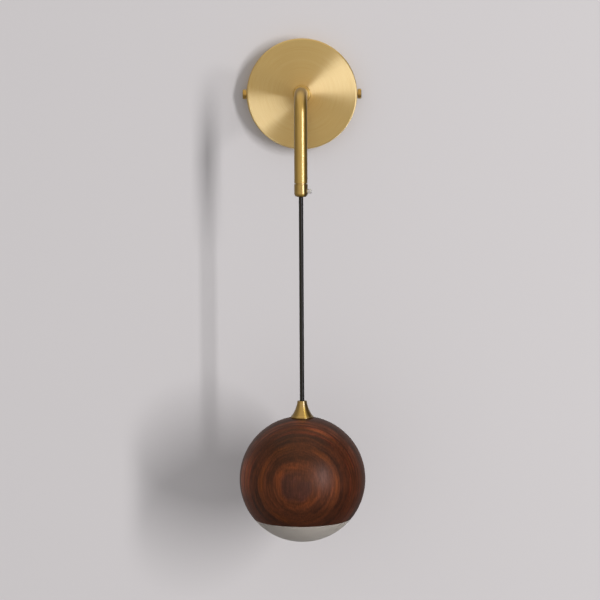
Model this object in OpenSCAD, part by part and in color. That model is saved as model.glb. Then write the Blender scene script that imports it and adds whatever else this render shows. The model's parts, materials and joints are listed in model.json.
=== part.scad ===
// Wall sconce: a brass canopy and bent arm carry a walnut ball lamp on a cord.
// The origin is the centre of the canopy's back. The wall is the plane y = 0,
// the lamp stands out towards -Y, and +Z is up. Sizes are in millimetres.

/* [Canopy] */
// Outside diameter of the canopy
canopy_d = 109; // [100:1:150]
// Depth of the canopy, from the wall to its front face
canopy_depth = 18; // [17:0.5:35]
// Thickness of the spun sheet
canopy_wall = 1; // [0.7:0.1:1.4]
// Outside radius of the rolled front edge
canopy_edge_r = 1.8; // [1.6:0.1:6]

/* [Canopy screws] */
// Thread diameter of the two side screws
side_screw_d = 4; // [3:0.5:5]
// Length of thread that reaches past the bracket's ear
side_screw_past = 2; // [1:0.5:6]
// Diameter of a side screw's head
side_head_d = 9.8; // [8:0.2:13]
// Length of a side screw's head
side_head_len = 3.9; // [3:0.1:6]
// Width of the rounding on a side screw's head
side_head_round = 0.8; // [0.4:0.1:1.2]
// Number of grooves in a side screw's knurl
side_knurls = 28; // [16:1:36]
// Radius of one knurl groove
side_knurl_r = 0.3; // [0.2:0.05:0.35]

/* [Wall bracket] */
// Thickness of the steel strip
bracket_t = 1.5; // [1:0.1:2]
// Width of the strip
bracket_w = 18; // [14:1:24]
// Diameter of the strip's middle plate
plate_d = 66; // [62:1:80]
// Diameter of the hole for the supply cable
wire_hole_d = 22; // [16:1:24]
// Distance between the two wall screw slots
slot_spacing = 52; // [48:1:58]
// Length of a wall screw slot
slot_len = 12; // [8:1:13]
// Width of a wall screw slot
slot_w = 4.5; // [4:0.5:5.5]
// Metal past the side screw at the end of an ear
ear_margin = 4.5; // [3.5:0.5:6]
// Distance of the earth screw to the side of the wire hole's centre
earth_side = 22; // [20:1:24]
// Distance of the earth screw above the wire hole's centre
earth_up = 16; // [8:1:18]
// Thread diameter of the earth screw
earth_screw_d = 3.5; // [3:0.5:4]
// Head diameter of the earth screw
earth_head_d = 7; // [6:0.5:8]
// Head height of the earth screw
earth_head_h = 2.2; // [1.5:0.1:3]

/* [Terminal block] */
// Number of poles
poles = 3; // [2:1:3]
// Spacing of the poles
pole_pitch = 10; // [9.5:0.5:11]
// Width of one pole's body
pole_w = 6.2; // [6:0.1:6.6]
// Length of the block along its wires
block_len = 17; // [15:0.5:20]
// Height of the pole bodies
block_h = 7; // [6.5:0.5:8]
// Thickness of the web between poles
web_t = 2.5; // [2:0.5:4]
// Outside diameter of a screw chimney
chimney_d = 5.4; // [5:0.2:6]
// Height of a screw chimney over the body
chimney_h = 3; // [2:0.5:3.5]
// Outside diameter of a brass clamp tube
clamp_d = 4.4; // [4.2:0.1:4.8]
// Bore of a brass clamp tube
clamp_bore = 3; // [2.6:0.1:3.2]
// Diameter of a clamp screw
clamp_screw_d = 2.6; // [2:0.1:3]
// Diameter of a screw that holds the block
block_screw_d = 2.4; // [1.6:0.1:2.6]

/* [LED driver] */
// Width of the driver box
driver_w = 50; // [40:1:56]
// Height of the driver box
driver_h = 24; // [18:1:27]
// Thickness of the driver box
driver_t = 12; // [8:0.5:12.5]
// Corner radius of the driver box
driver_corner_r = 3; // [2:0.5:5]
// Thickness of the foam pad behind the driver
driver_pad_t = 0.8; // [0.5:0.1:1.2]
// Diameter of a supply lead
lead_d = 1.8; // [1.2:0.1:2]
// Diameter of one insulated core of the cord
core_d = 1.3; // [1:0.1:1.6]

/* [Arm] */
// Distance from the wall to the axis of the cord
arm_reach = 120; // [80:1:200]
// Drop from the arm's root to the mouth of the ferrule
arm_drop = 97; // [60:1:160]
// Outside diameter of the arm tube
tube_d = 12.5; // [12:0.1:15]
// Wall thickness of the arm tube
tube_wall = 1; // [0.8:0.1:1.4]
// Centre-line radius of the bend
bend_r = 21; // [18:0.5:30]
// Outside diameter of the collar at the root
collar_d = 17.6; // [16.5:0.1:24]
// Length of the collar along the arm
collar_len = 2.6; // [2:0.1:6]
// Rounding of the collar's front edge
collar_round = 1.2; // [0.5:0.1:1.4]
// Length of the threaded stud inside the tube
stud_grip = 12; // [8:1:20]
// Metal between a nut's bore and its flats
nut_rim = 2.8; // [2:0.1:3.4]
// Height of the nut behind the canopy
arm_nut_h = 4; // [3:0.5:5]
// Thickness of the lock washer behind the canopy
arm_washer_t = 0.8; // [0.6:0.1:1.2]
// Number of teeth on the lock washer
washer_teeth = 12; // [8:1:16]
// Thread that shows past a nut
thread_past = 1.2; // [0.5:0.1:2]

/* [Ferrule and cord] */
// Outside diameter of the ferrule
ferrule_d = 12.8; // [12.5:0.1:16]
// Length of the ferrule below the tube
ferrule_len = 13; // [11:0.5:20]
// Rounding at the ferrule's mouth
ferrule_round = 3.4; // [2:0.1:3.5]
// Length of the ferrule's spigot inside the tube
spigot_len = 10; // [6:0.5:16]
// Diameter of the nylon grip screw
grip_screw_d = 4.2; // [3:0.1:5]
// Height of the grip screw over the mouth
grip_screw_up = 5.4; // [4.5:0.1:7]
// Length of the grip screw outside the ferrule
grip_screw_out = 3.6; // [2:0.1:8]
// Width of the screwdriver slot in the grip screw
driver_slot_w = 0.8; // [0.6:0.1:1]
// Depth of the screwdriver slot in the grip screw
driver_slot_depth = 1; // [0.6:0.1:1.5]
// Diameter of the cord
cord_d = 4.2; // [3.6:0.1:5]
// Free length of cord between ferrule and cone
cord_free = 194; // [120:1:600]
// Length of cord that bends sideways, before the bend to and fro
cord_link = 36; // [20:1:50]
// Cord that stands out of the mouth before it can bend
cord_stub = 1; // [0.5:0.1:3]

/* [Cone] */
// Height of the cone
cone_h = 16; // [12:0.5:24]
// Diameter of the cone's top
cone_top_d = 8.9; // [8:0.1:11]
// Diameter of the cone's base
cone_base_d = 22; // [20:0.5:28]
// Height of the bead round the cone's base
cone_bead_h = 1.4; // [1:0.1:2]
// Radius of the cone's hollow flare
cone_flare_r = 30; // [24:1:60]
// Depth of the threaded bore in the cone
cone_thread = 6.5; // [4:0.5:7.5]

/* [Ball] */
// Diameter of the ball
ball_d = 120; // [105:1:160]
// Latitude of the wood's lower edge below the ball's middle, in degrees
rim_latitude = 39.3; // [32:0.1:42]
// Width of the wood's lower edge, from the ball's outside to the cavity
rim_edge = 4.4; // [3:0.1:6]
// Depth of the bored cavity
cavity_depth = 44; // [30:1:60]
// Diameter of the threaded nipple
nipple_d = 10; // [9:0.5:12]

/* [Lamp cup] */
// Wall thickness of the lamp cup
cup_wall = 1.5; // [1:0.1:2]
// Distance of the cup's edge inside the wood's edge
cup_recess = 1; // [0.5:0.1:3]
// Thickness of the nipple's washer
cup_washer_t = 1; // [0.8:0.1:1.5]
// Height of the nipple's nut
cup_nut_h = 4; // [3:0.5:6]
// Length of the crimp on the cord's end
crimp_len = 6; // [4:0.5:9]
// Thickness of the LED board
board_t = 1.6; // [1:0.1:2]
// Number of LEDs
led_count = 12; // [6:1:24]
// Width of one LED
led_w = 3; // [2:0.1:4]
// Height of one LED
led_h = 0.8; // [0.5:0.1:1.2]
// Diameter of a board screw
board_screw_d = 3; // [2:0.5:3]
// Number of board screws
board_screw_count = 3; // [2:1:4]

/* [Diffuser] */
// Wall thickness of the opal shell
opal_wall = 2.5; // [2:0.1:4]
// Gap that shows between wood and opal
shadow_gap = 0.5; // [0.3:0.1:1]
// Height of the skirt inside the cup
skirt_h = 12; // [10:0.5:20]
// Wall thickness of the skirt
skirt_wall = 2; // [1.5:0.1:3]
// Number of bayonet lugs
lug_count = 3; // [2:1:4]
// Width of a lug in degrees
lug_angle = 9; // [6:1:14]
// Height of a lug
lug_h = 3; // [2:0.5:4]
// Height of the lugs over the wood's edge
lug_up = 6; // [4.5:0.5:7]
// Reach of a lug into the cup's wall
lug_reach = 1; // [0.6:0.1:1]
// Turn that frees the diffuser, in degrees
twist_angle = 25; // [15:1:40]

/* [Clearances] */
// Radial gap round a screw that turns
run_gap = 0.05; // [0.02:0.01:0.1]
// Gap between fixed pieces pushed together
seat_gap = 0.05; // [0.02:0.01:0.1]
// Gap between pieces that move past each other
free_gap = 0.3; // [0.2:0.05:0.5]

/* [Hidden] */
$fn = 72;
// Cutting tools reach this far past the faces they cut
cut = 1;

// Canopy and bracket
canopy_in_r = canopy_d / 2 - canopy_wall;
canopy_in_depth = canopy_depth - canopy_wall;
side_screw_y = -canopy_depth / 2;
ear_x = sqrt(pow(canopy_in_r, 2) - pow(bracket_w / 2, 2)) - free_gap;
ear_depth = ear_margin - side_screw_y;
head_seat_x = canopy_d / 2 + free_gap;
earth_pos = [-earth_side, earth_up];

// Terminal block, on the bracket's plate above the wire hole
block_margin = 1.5;
block_z = wire_hole_d / 2 + block_margin + block_len / 2;
block_w = poles * pole_pitch;
chimney_z = block_len / 4;
clamp_y = -(bracket_t + web_t + clamp_d / 2);
block_top_y = -(bracket_t + block_h + chimney_h);
screw_sink = 1;

// Root of the arm
tube_bore = tube_d - 2 * tube_wall;
stud_d = tube_bore - 2 * seat_gap;
cord_bore = cord_d + 2 * free_gap;
nut_flats = stud_d + 2 * nut_rim;
nut_corner_r = nut_flats / 2 / cos(30);
stud_end_y = -(canopy_in_depth - arm_washer_t - arm_nut_h - thread_past);

// LED driver, on the canopy's inner face below the nut
driver_top_z = -(nut_corner_r + 3);
driver_z = driver_top_z - driver_h / 2;
driver_y = -(canopy_in_depth - driver_pad_t);
lead_y = driver_y + driver_t / 2;
// Sheath of the cord that shows past the stud
cord_tail = 1;

// Heights along the cord
mouth_z = -arm_drop;
tube_end_z = mouth_z + ferrule_len;
grip_z = mouth_z + grip_screw_up;
pivot_side_z = mouth_z - cord_stub - free_gap - cord_d / 2;
pivot_fore_z = pivot_side_z - cord_link;
cone_top_z = mouth_z - cord_free;
seat_z = cone_top_z - cone_h;

// Ball and what it holds
ball_r = ball_d / 2;
rim_drop = ball_r * sin(rim_latitude);
cavity_d = 2 * (ball_r * cos(rim_latitude) - rim_edge);
seat_r = cone_base_d / 2 + free_gap;
seat_up = sqrt(pow(ball_r, 2) - pow(seat_r, 2));
ball_z = seat_z - seat_up;
rim_z = ball_z - rim_drop;
ceiling_z = rim_z + cavity_depth;
cup_r = cavity_d / 2 - free_gap;
cup_in_r = cup_r - cup_wall;
cup_floor_z = ceiling_z - seat_gap - cup_wall;
nipple_flats = nipple_d + 2 * nut_rim;
nipple_nut_r = nipple_flats / 2 / cos(30);
nipple_bore = cord_d + 4 * free_gap;
nipple_top_z = seat_z + cone_thread - free_gap;
nut_top_z = cup_floor_z - cup_washer_t;
nipple_end_z = nut_top_z - cup_nut_h - thread_past;
crimp_top_z = nipple_end_z - free_gap;
cord_end_z = crimp_top_z - crimp_len;
board_r = cup_in_r - 2;
board_in_r = nipple_nut_r + 3;
board_z = cup_floor_z - board_t;
led_ring_r = (board_r + board_in_r) / 2 + led_w;
pad_ring_r = board_in_r + lead_d;
board_screw_r = board_in_r + board_screw_d;

// Bayonet
skirt_r = cup_in_r - free_gap;
skirt_in_r = skirt_r - skirt_wall;
lug_r = cup_in_r + lug_reach;
lug_z = rim_z + lug_up;
slot_room = asin(free_gap / cup_in_r);
// Angle of the first lug from the X axis
lug_start = 30;

// Colours
brass = "#b4955a";
steel = "#b8bcc0";
zinc = "#a8a9a4";
walnut = "#6b4226";
opal = "#dcd8d2";
black = "#1c1c1d";
white = "#e8e6e0";
aluminium = "#cfd1d3";
copper = "#b5713f";
clear = "#d9dcda";
grey = "#4a4c4f";

// Turns a shape made along +Z so that it stands out of the wall, along -Y
module from_wall() {
    rotate([90, 0, 0])
        children();
}

// Moves a shape made round the Z axis to the axis of the cord
module on_cord(z = 0) {
    translate([0, -arm_reach, z])
        children();
}

// Flat rectangle from the axis out, with its outer upper corner rounded
module rounded_profile(r, h, corner) {
    square([r - corner, h]);
    square([r, h - corner]);
    translate([r - corner, h - corner])
        intersection() {
            circle(corner);
            square(corner);
        }
}

// Rectangle with four round corners
module rounded_rect(w, h, corner) {
    square([w - 2 * corner, h], center = true);
    square([w, h - 2 * corner], center = true);
    for (x = [-1, 1], y = [-1, 1])
        translate([x * (w / 2 - corner), y * (h / 2 - corner)])
            circle(corner);
}

// Long hole with round ends, its length along X
module slot(length, width) {
    square([length - width, width], center = true);
    for (x = [-1, 1])
        translate([x * (length - width) / 2, 0])
            circle(d = width);
}

// Part of a ring: from radius a to b and from z0 to z1, turned through an angle
module ring_sector(a, b, z0, z1, start, sweep) {
    rotate([0, 0, start])
        rotate_extrude(angle = sweep)
            translate([a, z0])
                square([b - a, z1 - z0]);
}

// Hexagon nut on the Z axis with chamfered corners
module hex_nut(flats, bore, h) {
    corner_r = flats / 2 / cos(30);
    chamfer = corner_r - flats / 2;
    difference() {
        intersection() {
            cylinder(r = corner_r, h = h, $fn = 6);
            rotate_extrude()
                polygon([
                    [0, 0], [flats / 2, 0], [corner_r, chamfer / 2],
                    [corner_r, h - chamfer / 2], [flats / 2, h], [0, h]
                ]);
        }
        translate([0, 0, -cut])
            cylinder(d = bore, h = h + 2 * cut);
    }
}

// Pan-head screw on the Z axis: head above z = 0, thread below, cross slot on top
module pan_screw(d, length, head_d, head_h) {
    slot_w = head_d / 6;
    difference() {
        union() {
            translate([0, 0, -length])
                cylinder(d = d, h = length);
            rotate_extrude()
                rounded_profile(head_d / 2, head_h, head_h / 2);
        }
        for (turn = [0, 90])
            rotate([0, 0, turn])
                translate([-head_d / 4, -slot_w / 2, head_h / 2])
                    cube([head_d / 2, slot_w, head_h]);
    }
}

// Round rod along the arm: out from y0, round the bend and down to z1
module bent_rod(d, y0, z1) {
    straight = arm_reach - bend_r;
    translate([0, y0, 0])
        from_wall()
            cylinder(d = d, h = straight + y0);
    translate([0, -straight, -bend_r])
        rotate([0, -90, 180])
            rotate_extrude(angle = 90)
                translate([bend_r, 0])
                    circle(d = d);
    on_cord(z1)
        cylinder(d = d, h = -bend_r - z1);
}

// Smooth curve through hand-placed points, with a number of steps between them
function curve_point(a, b, c, d, t) =
    0.5 * (2 * b + (c - a) * t + (2 * a - 5 * b + 4 * c - d) * t * t
    + (3 * b - a - 3 * c + d) * t * t * t);
function curve(p, steps) = [
    for (i = [0:len(p) - 2], s = [0:steps - 1])
        curve_point(p[max(i - 1, 0)], p[i], p[i + 1], p[min(i + 2, len(p) - 1)], s / steps),
    p[len(p) - 1]
];
function unit(v) = v / norm(v);
function heading(p, i) = unit(p[min(i + 1, len(p) - 1)] - p[max(i - 1, 0)]);
function side_of(p, i) =
    i == 0 ? unit(cross(heading(p, 0), [1, 2, 3]))
    : let (t = heading(p, i), n = side_of(p, i - 1)) unit(n - (n * t) * t);

// Round lead of diameter d along a curve
module lead(p, d) {
    sides = 8;
    rings = len(p);
    points = [
        for (i = [0:rings - 1])
            let (n = side_of(p, i), b = cross(heading(p, i), n))
                for (k = [0:sides - 1])
                    p[i] + d / 2 * (cos(k * 360 / sides) * n + sin(k * 360 / sides) * b)
    ];
    walls = [
        for (i = [0:rings - 2], k = [0:sides - 1])
            let (a = i * sides + k, b = i * sides + (k + 1) % sides)
                each [[a, a + sides, b], [b, a + sides, b + sides]]
    ];
    last = (rings - 1) * sides;
    caps = [
        for (k = [1:sides - 2])
            each [[0, k, k + 1], [last, last + k + 1, last + k]]
    ];
    polyhedron(points = points, faces = concat(walls, caps));
}

// Steel strip with bent ears, a round middle plate, slots and threaded holes
module wall_bracket() {
    color(zinc)
        difference() {
            union() {
                linear_extrude(height = bracket_w, center = true)
                    difference() {
                        bent_strip(ear_x, ear_depth, 2 * bracket_t);
                        translate([0, -bracket_t])
                            bent_strip(ear_x - bracket_t, ear_depth, bracket_t);
                    }
                from_wall()
                    cylinder(d = plate_d, h = bracket_t);
            }
            translate([0, cut, 0])
                from_wall()
                    linear_extrude(height = bracket_t + 2 * cut)
                        bracket_holes();
            translate([-ear_x - cut, side_screw_y, 0])
                rotate([0, 90, 0])
                    cylinder(d = side_screw_d + 2 * run_gap, h = 2 * (ear_x + cut));
        }
}

// Half-round outline of the strip, open towards -Y
module bent_strip(x, depth, corner) {
    for (side = [0, 1])
        mirror([side, 0])
            mirror([0, 1])
                translate([0, depth])
                    mirror([0, 1])
                        rounded_profile(x, depth, corner);
}

// Holes through the bracket's plate, seen from the front
module bracket_holes() {
    circle(d = wire_hole_d);
    for (side = [-1, 1])
        translate([side * slot_spacing / 2, 0])
            slot(slot_len, slot_w);
    translate(earth_pos)
        circle(d = earth_screw_d + 2 * seat_gap);
    block_screw_places()
        circle(d = block_screw_d + 2 * seat_gap);
}

// Screw places in the webs between the poles
module block_screw_places() {
    for (i = [1:poles - 1])
        translate([(i - poles / 2) * pole_pitch, block_z])
            children();
}

// Centres of the poles, across the block
module pole_places() {
    for (i = [0:poles - 1])
        translate([(i + 0.5 - poles / 2) * pole_pitch, 0, block_z])
            children();
}

module earth_screw() {
    color(brass)
        translate([earth_pos[0], -bracket_t, earth_pos[1]])
            from_wall()
                pan_screw(earth_screw_d, bracket_t, earth_head_d, earth_head_h);
}

// Moulded strip: a web, one body for each pole and two chimneys over each clamp
module terminal_block() {
    color(white)
        difference() {
            union() {
                translate([-block_w / 2, -bracket_t - web_t, block_z - block_len / 2])
                    cube([block_w, web_t, block_len]);
                pole_places() {
                    translate([-pole_w / 2, -bracket_t - block_h, -block_len / 2])
                        cube([pole_w, block_h, block_len]);
                    for (z = [-chimney_z, chimney_z])
                        translate([0, -bracket_t - block_h, z])
                            from_wall()
                                cylinder(d = chimney_d, h = chimney_h);
                }
            }
            pole_places() {
                translate([0, clamp_y, -block_len / 2 - cut])
                    cylinder(d = clamp_d + 2 * seat_gap, h = block_len + 2 * cut);
                for (z = [-chimney_z, chimney_z])
                    translate([0, clamp_y, z])
                        from_wall()
                            cylinder(d = clamp_screw_d + 2 * free_gap, h = -block_top_y + clamp_y + cut);
            }
            translate([0, -bracket_t + cut, 0])
                from_wall()
                    linear_extrude(height = web_t + 2 * cut)
                        block_screw_places()
                            circle(d = block_screw_d + 2 * seat_gap);
        }
}

// Brass tubes that hold the wires, one in each pole
module terminal_clamps() {
    length = block_len - 3;
    color(brass)
        pole_places()
            difference() {
                translate([0, clamp_y, -length / 2])
                    cylinder(d = clamp_d, h = length);
                translate([0, clamp_y, -length / 2 - cut])
                    cylinder(d = clamp_bore, h = length + 2 * cut);
                for (z = [-chimney_z, chimney_z])
                    translate([0, clamp_y, z])
                        from_wall()
                            cylinder(d = clamp_screw_d + 2 * seat_gap, h = clamp_d);
            }
}

// Clamp screws, sunk in the chimneys
module terminal_screws() {
    tip_y = clamp_y - clamp_bore / 6;
    length = tip_y - block_top_y - screw_sink;
    color(steel)
        pole_places()
            for (z = [-chimney_z, chimney_z])
                translate([0, block_top_y + screw_sink, z])
                    rotate([-90, 0, 0])
                        difference() {
                            cylinder(d = clamp_screw_d, h = length);
                            translate([-clamp_screw_d, -clamp_screw_d / 8, -clamp_screw_d / 4])
                                cube([2 * clamp_screw_d, clamp_screw_d / 4, clamp_screw_d / 2]);
                        }
}

// Screws that hold the terminal block to the bracket
module block_screws() {
    head_d = 1.4 * block_screw_d;
    color(steel)
        translate([0, -bracket_t - web_t, 0])
            from_wall()
                block_screw_places()
                    pan_screw(block_screw_d, bracket_t + web_t, head_d, block_screw_d / 2);
}

// Spun cup, open to the wall
module canopy() {
    inner_edge_r = max(canopy_edge_r - canopy_wall, canopy_wall / 2);
    color(brass)
        difference() {
            from_wall()
                rotate_extrude()
                    difference() {
                        rounded_profile(canopy_d / 2, canopy_depth, canopy_edge_r);
                        translate([0, -cut])
                            rounded_profile(canopy_in_r, canopy_in_depth + cut, inner_edge_r);
                    }
            from_wall()
                cylinder(d = stud_d + 2 * seat_gap, h = canopy_depth + cut);
            translate([-canopy_d, side_screw_y, 0])
                rotate([0, 90, 0])
                    cylinder(d = side_screw_d + 2 * free_gap, h = 2 * canopy_d);
        }
}

// Knurled thumb screw on the Z axis, its head seat at z = 0
module thumb_screw() {
    length = head_seat_x - ear_x + bracket_t + side_screw_past;
    translate([0, 0, -length])
        cylinder(d = side_screw_d, h = length);
    difference() {
        rotate_extrude()
            rounded_profile(side_head_d / 2, side_head_len, side_head_round);
        for (i = [0:side_knurls - 1])
            rotate([0, 0, i * 360 / side_knurls])
                translate([side_head_d / 2, 0, -cut])
                    cylinder(r = side_knurl_r, h = side_head_len + 2 * cut, $fn = 4);
    }
}

module canopy_screw_right() {
    color(brass)
        translate([head_seat_x, side_screw_y, 0])
            rotate([0, 90, 0])
                thumb_screw();
}

module canopy_screw_left() {
    color(brass)
        translate([-head_seat_x, side_screw_y, 0])
            rotate([0, -90, 0])
                thumb_screw();
}

// Turned ring that covers the tube's joint with the canopy
module arm_collar() {
    color(brass)
        translate([0, -canopy_depth, 0])
            from_wall()
                difference() {
                    rotate_extrude()
                        rounded_profile(collar_d / 2, collar_len, collar_round);
                    translate([0, 0, -cut])
                        cylinder(d = tube_d + 2 * seat_gap, h = collar_len + 2 * cut);
                }
}

// Bent tube, hollow for the cord
module arm_tube() {
    color(brass)
        difference() {
            bent_rod(tube_d, -canopy_depth, tube_end_z);
            bent_rod(tube_bore, -canopy_depth + cut, tube_end_z - cut);
        }
}

// Threaded stud in the tube's root
module arm_stud() {
    color(brass)
        translate([0, stud_end_y, 0])
            from_wall()
                difference() {
                    cylinder(d = stud_d, h = canopy_depth + stud_grip + stud_end_y);
                    translate([0, 0, -cut])
                        cylinder(d = cord_bore, h = 2 * canopy_depth + stud_grip);
                }
}

// Toothed lock washer under the nut
module arm_washer() {
    tooth_r = nut_corner_r;
    root_r = (tooth_r + stud_d / 2) / 2;
    notch_w = PI * tooth_r / washer_teeth;
    color(steel)
        translate([0, -canopy_in_depth + arm_washer_t, 0])
            from_wall()
                difference() {
                    cylinder(r = tooth_r, h = arm_washer_t);
                    translate([0, 0, -cut])
                        cylinder(d = stud_d + 2 * seat_gap, h = arm_washer_t + 2 * cut);
                    for (i = [0:washer_teeth - 1])
                        rotate([0, 0, i * 360 / washer_teeth])
                            translate([root_r, -notch_w / 2, -cut])
                                cube([tooth_r, notch_w, arm_washer_t + 2 * cut]);
                }
}

module arm_nut() {
    color(steel)
        translate([0, -canopy_in_depth + arm_washer_t + arm_nut_h, 0])
            from_wall()
                hex_nut(nut_flats, stud_d + 2 * seat_gap, arm_nut_h);
}

// Closed driver box with a parting groove and a lead hole in each end
module led_driver() {
    groove = 0.4;
    hole_d = 2 * lead_d + 2 * free_gap;
    color(white)
        difference() {
            translate([0, driver_y + driver_t, driver_z])
                from_wall()
                    linear_extrude(height = driver_t)
                        rounded_rect(driver_w, driver_h, driver_corner_r);
            translate([0, driver_y + driver_t / 4 + groove, driver_z])
                from_wall()
                    linear_extrude(height = groove)
                        difference() {
                            square([driver_w + cut, driver_h + cut], center = true);
                            rounded_rect(driver_w - 2 * groove, driver_h - 2 * groove, driver_corner_r);
                        }
            for (side = [-1, 1])
                translate([side * driver_w / 2, lead_y, driver_z])
                    rotate([0, -90 * side, 0])
                        translate([0, 0, -cut])
                            cylinder(d = hole_d, h = hole_d + cut);
        }
}

// Foam pad between the driver and the canopy's face
module driver_pad() {
    margin = driver_corner_r;
    color(grey)
        translate([0, driver_y, driver_z])
            from_wall()
                linear_extrude(height = driver_pad_t)
                    square([driver_w - 2 * margin, driver_h - 2 * margin], center = true);
}

// Leads from two poles down to the driver's left end, the outer one first
module supply_leads() {
    start_z = block_z - block_len / 2;
    outer_x = -pole_pitch * (poles - 1) / 2;
    end_x = -driver_w / 2 + lead_d;
    half = (lead_d + free_gap) / 2;
    color(black) {
        lead(curve([
            [outer_x, clamp_y, start_z + 2],
            [outer_x, clamp_y, start_z - 1],
            [outer_x - 8, clamp_y, start_z - 9],
            [end_x - 8, lead_y + 1, driver_top_z + 5],
            [end_x - 12, lead_y, driver_top_z - 5],
            [end_x - 8, lead_y, driver_z - half],
            [end_x, lead_y, driver_z - half]
        ], 4), lead_d);
        lead(curve([
            [outer_x + pole_pitch, clamp_y, start_z + 2],
            [outer_x + pole_pitch, clamp_y, start_z - 1],
            [outer_x, clamp_y, start_z - 12],
            [end_x - 3, lead_y + 1, driver_top_z + 2],
            [end_x - 8, lead_y, driver_top_z - 5],
            [end_x - 6, lead_y, driver_z + half],
            [end_x, lead_y, driver_z + half]
        ], 4), lead_d);
    }
}

// Cores of the cord, from its sheath to the driver's right end, the outer one first
module output_leads() {
    start_y = stud_end_y + cord_tail + seat_gap;
    end_x = driver_w / 2 - lead_d;
    half = (core_d + free_gap) / 2;
    color(copper) {
        lead(curve([
            [0, start_y, half],
            [0, start_y + 1, half],
            [3, start_y + 2.5, half],
            [12, start_y + 3, 1],
            [end_x + 5, lead_y + 2, driver_top_z + 7],
            [end_x + 12, lead_y, driver_top_z - 3],
            [end_x + 8, lead_y, driver_z - half],
            [end_x, lead_y, driver_z - half]
        ], 4), core_d);
        lead(curve([
            [0, start_y, -half],
            [0, start_y + 1, -half],
            [3, start_y + 2.5, -half],
            [11, start_y + 3, -2],
            [end_x + 2, lead_y + 2, driver_top_z + 3],
            [end_x + 8, lead_y, driver_top_z - 4],
            [end_x + 6, lead_y, driver_z + half],
            [end_x, lead_y, driver_z + half]
        ], 4), core_d);
    }
}

// Turned end piece with a spigot in the tube, a round mouth and a cross hole
module arm_ferrule() {
    color(brass)
        on_cord(mouth_z)
            difference() {
                rotate_extrude() {
                    translate([0, ferrule_len])
                        mirror([0, 1])
                            rounded_profile(ferrule_d / 2, ferrule_len, ferrule_round);
                    square([tube_bore / 2 - seat_gap, ferrule_len + spigot_len]);
                }
                translate([0, 0, -cut])
                    cylinder(d = cord_bore, h = ferrule_len + spigot_len + 2 * cut);
                translate([0, 0, grip_screw_up])
                    rotate([0, 90, 0])
                        cylinder(d = grip_screw_d + 2 * run_gap, h = ferrule_d);
            }
}

// Nylon screw that presses on the cord
module grip_screw() {
    start = cord_d / 2 + free_gap;
    length = ferrule_d / 2 + grip_screw_out - start;
    color(clear)
        on_cord(grip_z)
            rotate([0, 90, 0])
                translate([0, 0, start])
                    difference() {
                        rotate_extrude()
                            rounded_profile(grip_screw_d / 2, length, grip_screw_d / 10);
                        translate([-grip_screw_d, -driver_slot_w / 2, length - driver_slot_depth])
                            cube([2 * grip_screw_d, driver_slot_w, 2 * driver_slot_depth]);
                    }
}

// Cord inside the arm, to just below the mouth
module cord_inner() {
    color(black)
        bent_rod(cord_d, stud_end_y + cord_tail, mouth_z - cord_stub);
}

// Free cord that bends sideways at its round upper end
module cord_upper() {
    bottom = pivot_fore_z + cord_d / 2 + free_gap;
    color(black)
        on_cord(bottom) {
            cylinder(d = cord_d, h = pivot_side_z - bottom);
            translate([0, 0, pivot_side_z - bottom])
                sphere(d = cord_d);
        }
}

// Free cord that bends to and fro at its round upper end, down to the crimp
module cord_lower() {
    color(black)
        on_cord(cord_end_z) {
            cylinder(d = cord_d, h = pivot_fore_z - cord_end_z);
            translate([0, 0, pivot_fore_z - cord_end_z])
                sphere(d = cord_d);
        }
}

// Crimped sleeve on the cord's end, which carries the ball
module cord_stop() {
    color(aluminium)
        on_cord(cord_end_z)
            difference() {
                cylinder(d = nipple_d - 2 * free_gap, h = crimp_len);
                translate([0, 0, -cut])
                    cylinder(d = cord_d + 2 * seat_gap, h = crimp_len + 2 * cut);
            }
}

// Profile of the cone: a bead, a hollow flare and a plain top
module cone_profile() {
    bead_r = cone_bead_h / 2;
    foot = [cone_base_d / 2 - bead_r, cone_bead_h];
    top = [cone_top_d / 2, cone_h];
    chord = top - foot;
    reach = sqrt(pow(cone_flare_r, 2) - pow(norm(chord) / 2, 2));
    flare_centre = (top + foot) / 2 + reach * [chord[1], -chord[0]] / norm(chord);
    difference() {
        polygon([[0, 0], [foot[0], 0], foot, top, [0, cone_h]]);
        translate(flare_centre)
            circle(cone_flare_r, $fn = 360);
    }
    translate([foot[0], bead_r])
        circle(bead_r);
}

// Flared cap that screws onto the nipple
module cord_cone() {
    color(brass)
        on_cord(seat_z)
            difference() {
                rotate_extrude()
                    cone_profile();
                translate([0, 0, -cut])
                    cylinder(d = nipple_d + 2 * seat_gap, h = cone_thread + cut);
                cylinder(d = cord_bore, h = cone_h + cut);
            }
}

// Threaded tube from the cone down through the ball
module ball_nipple() {
    color(steel)
        on_cord(nipple_end_z)
            difference() {
                cylinder(d = nipple_d, h = nipple_top_z - nipple_end_z);
                translate([0, 0, -cut])
                    cylinder(d = nipple_bore, h = nipple_top_z - nipple_end_z + 2 * cut);
            }
}

// Turned walnut ball: a flat for the cone, an axial hole and a bored cavity
module ball_shell() {
    color(walnut)
        on_cord(ball_z)
            difference() {
                rotate_extrude()
                    intersection() {
                        circle(ball_r, $fn = 180);
                        translate([0, -rim_drop])
                            square([ball_r, rim_drop + seat_up]);
                    }
                translate([0, 0, -rim_drop - cut])
                    cylinder(d = cavity_d, h = cavity_depth + cut);
                cylinder(d = nipple_d + 2 * free_gap, h = ball_d);
            }
}

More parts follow.
